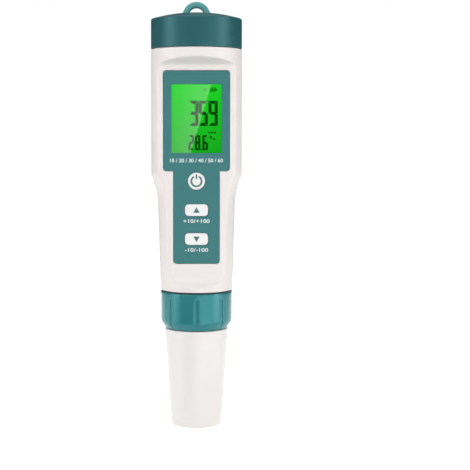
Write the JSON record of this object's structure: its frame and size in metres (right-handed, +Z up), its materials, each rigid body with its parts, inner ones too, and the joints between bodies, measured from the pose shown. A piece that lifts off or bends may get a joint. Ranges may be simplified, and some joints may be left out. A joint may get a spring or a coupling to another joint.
{
  "type": "water quality test pen",
  "caption": "Pen-shaped water tester: wide head with back-lit display, round grip with keys, screw battery cap with lanyard loop, plug-in sensor probe under a locking collar and a slip-on cap.",
  "frame": {"origin": "centre of the protective cap's foot, on the surface the pen stands on", "axes": "+Z up along the pen to the lanyard loop; the display faces -Y; +X is to the right of someone reading the display"},
  "size_m": [0.039, 0.039, 0.183],
  "materials": {
    "white_shell": "satin white moulded plastic",
    "teal_panel": "smooth teal panel",
    "clear_window": "clear polished window",
    "lcd_green": "back-lit green display",
    "backlight": "diffuse white light guide",
    "natural_plastic": "natural moulded plastic",
    "black_rubber": "matt black",
    "grey_rubber": "matt grey silicone",
    "board_green": "solder-mask green",
    "chip_black": "matt black with tinned leads",
    "component_metal": "mixed small parts",
    "steel": "bright steel",
    "brass": "gold-plated brass",
    "black_plastic": "matt black plastic",
    "tinned_wire": "tinned copper",
    "teal_dark": "dark teal satin plastic",
    "white_key": "white soft-touch keys",
    "probe_plastic": "white probe plastic",
    "probe_glass": "thin clear glass",
    "ceramic": "porous white ceramic",
    "graphite": "dark graphite",
    "teal_collar": "glossy teal plastic",
    "white_cap": "white satin plastic",
    "sponge": "soft open-cell sponge"
  },
  "bodies": {
    "housing": {"main_housing": "white_shell", "front_panel": "teal_panel", "display_window": "clear_window", "lcd_glass": "lcd_green", "backlight_plate": "backlight", "display_frame": "natural_plastic", "contact_strips": "black_rubber", "circuit_board": "board_green", "control_chip": "chip_black", "small_components": "component_metal", "key_switches": "component_metal", "keypad_mat": "grey_rubber", "board_screws": "steel", "battery_bay": "natural_plastic", "bay_contacts": "brass", "neck_oring": "black_rubber", "socket_block": "black_plastic", "socket_contacts": "brass", "socket_leads": "tinned_wire", "nozzle_gasket": "black_rubber"},
    "carrier": {"battery_carrier": "natural_plastic", "battery_cells": "steel", "carrier_contacts": "brass"},
    "cap_seal": {"cap_gasket": "black_rubber", "contact_spring": "brass"},
    "battery_cap": {"battery_cap": "teal_dark"},
    "power_button": {"power_button": "white_key"},
    "up_button": {"up_button": "white_key"},
    "down_button": {"down_button": "white_key"},
    "probe": {"probe_housing": "probe_plastic", "plug_pins": "brass", "plug_oring": "black_rubber", "probe_oring": "black_rubber", "ph_stem": "probe_glass", "ph_bulb": "probe_glass", "reference_junction": "ceramic", "orp_pin": "steel", "conductivity_pins": "graphite", "temperature_sensor": "steel"},
    "slip_washer": {"slip_washer": "black_plastic"},
    "collar": {"locking_collar": "teal_collar"},
    "protective_cap": {"protective_cap": "white_cap", "storage_sponge": "sponge"}
  },
  "joints": [
    {"name": "carrier_slide", "type": "slide", "parent": "housing", "child": "carrier", "axis": [0, 0, 1], "range_m": [0, 0.03]},
    {"name": "cap_lift", "type": "slide", "parent": "carrier", "child": "cap_seal", "axis": [0, 0, 1], "range_m": [0, 0.0076]},
    {"name": "cap_turn", "type": "hinge", "parent": "cap_seal", "child": "battery_cap", "pos_m": [0, 0, 0.17], "axis": [0, 0, 1], "range_deg": [0, 900]},
    {"name": "power_press", "type": "slide", "parent": "housing", "child": "power_button", "axis": [0, 1, 0], "range_m": [0, 0.0005], "stiffness_N_per_m": 300, "springref_m": -0.001},
    {"name": "up_press", "type": "slide", "parent": "housing", "child": "up_button", "axis": [0, 1, 0], "range_m": [0, 0.0005], "stiffness_N_per_m": 300, "springref_m": -0.001},
    {"name": "down_press", "type": "slide", "parent": "housing", "child": "down_button", "axis": [0, 1, 0], "range_m": [0, 0.0005], "stiffness_N_per_m": 300, "springref_m": -0.001},
    {"name": "probe_slide", "type": "slide", "parent": "housing", "child": "probe", "axis": [0, 0, -1], "range_m": [0, 0.02]},
    {"name": "collar_drop", "type": "slide", "parent": "probe", "child": "slip_washer", "axis": [0, 0, -1], "range_m": [0, 0.0076]},
    {"name": "collar_turn", "type": "hinge", "parent": "slip_washer", "child": "collar", "pos_m": [0, 0, 0.05], "axis": [0, 0, -1], "range_deg": [0, 900]},
    {"name": "protective_cap_slide", "type": "slide", "parent": "slip_washer", "child": "protective_cap", "axis": [0, 0, -1], "range_m": [0, 0.045]}
  ],
  "couplings": [
    {"joint": "cap_lift", "follows": "cap_turn", "m_per_rad": 0.00047746},
    {"joint": "collar_drop", "follows": "collar_turn", "m_per_rad": 0.00047746}
  ]
}
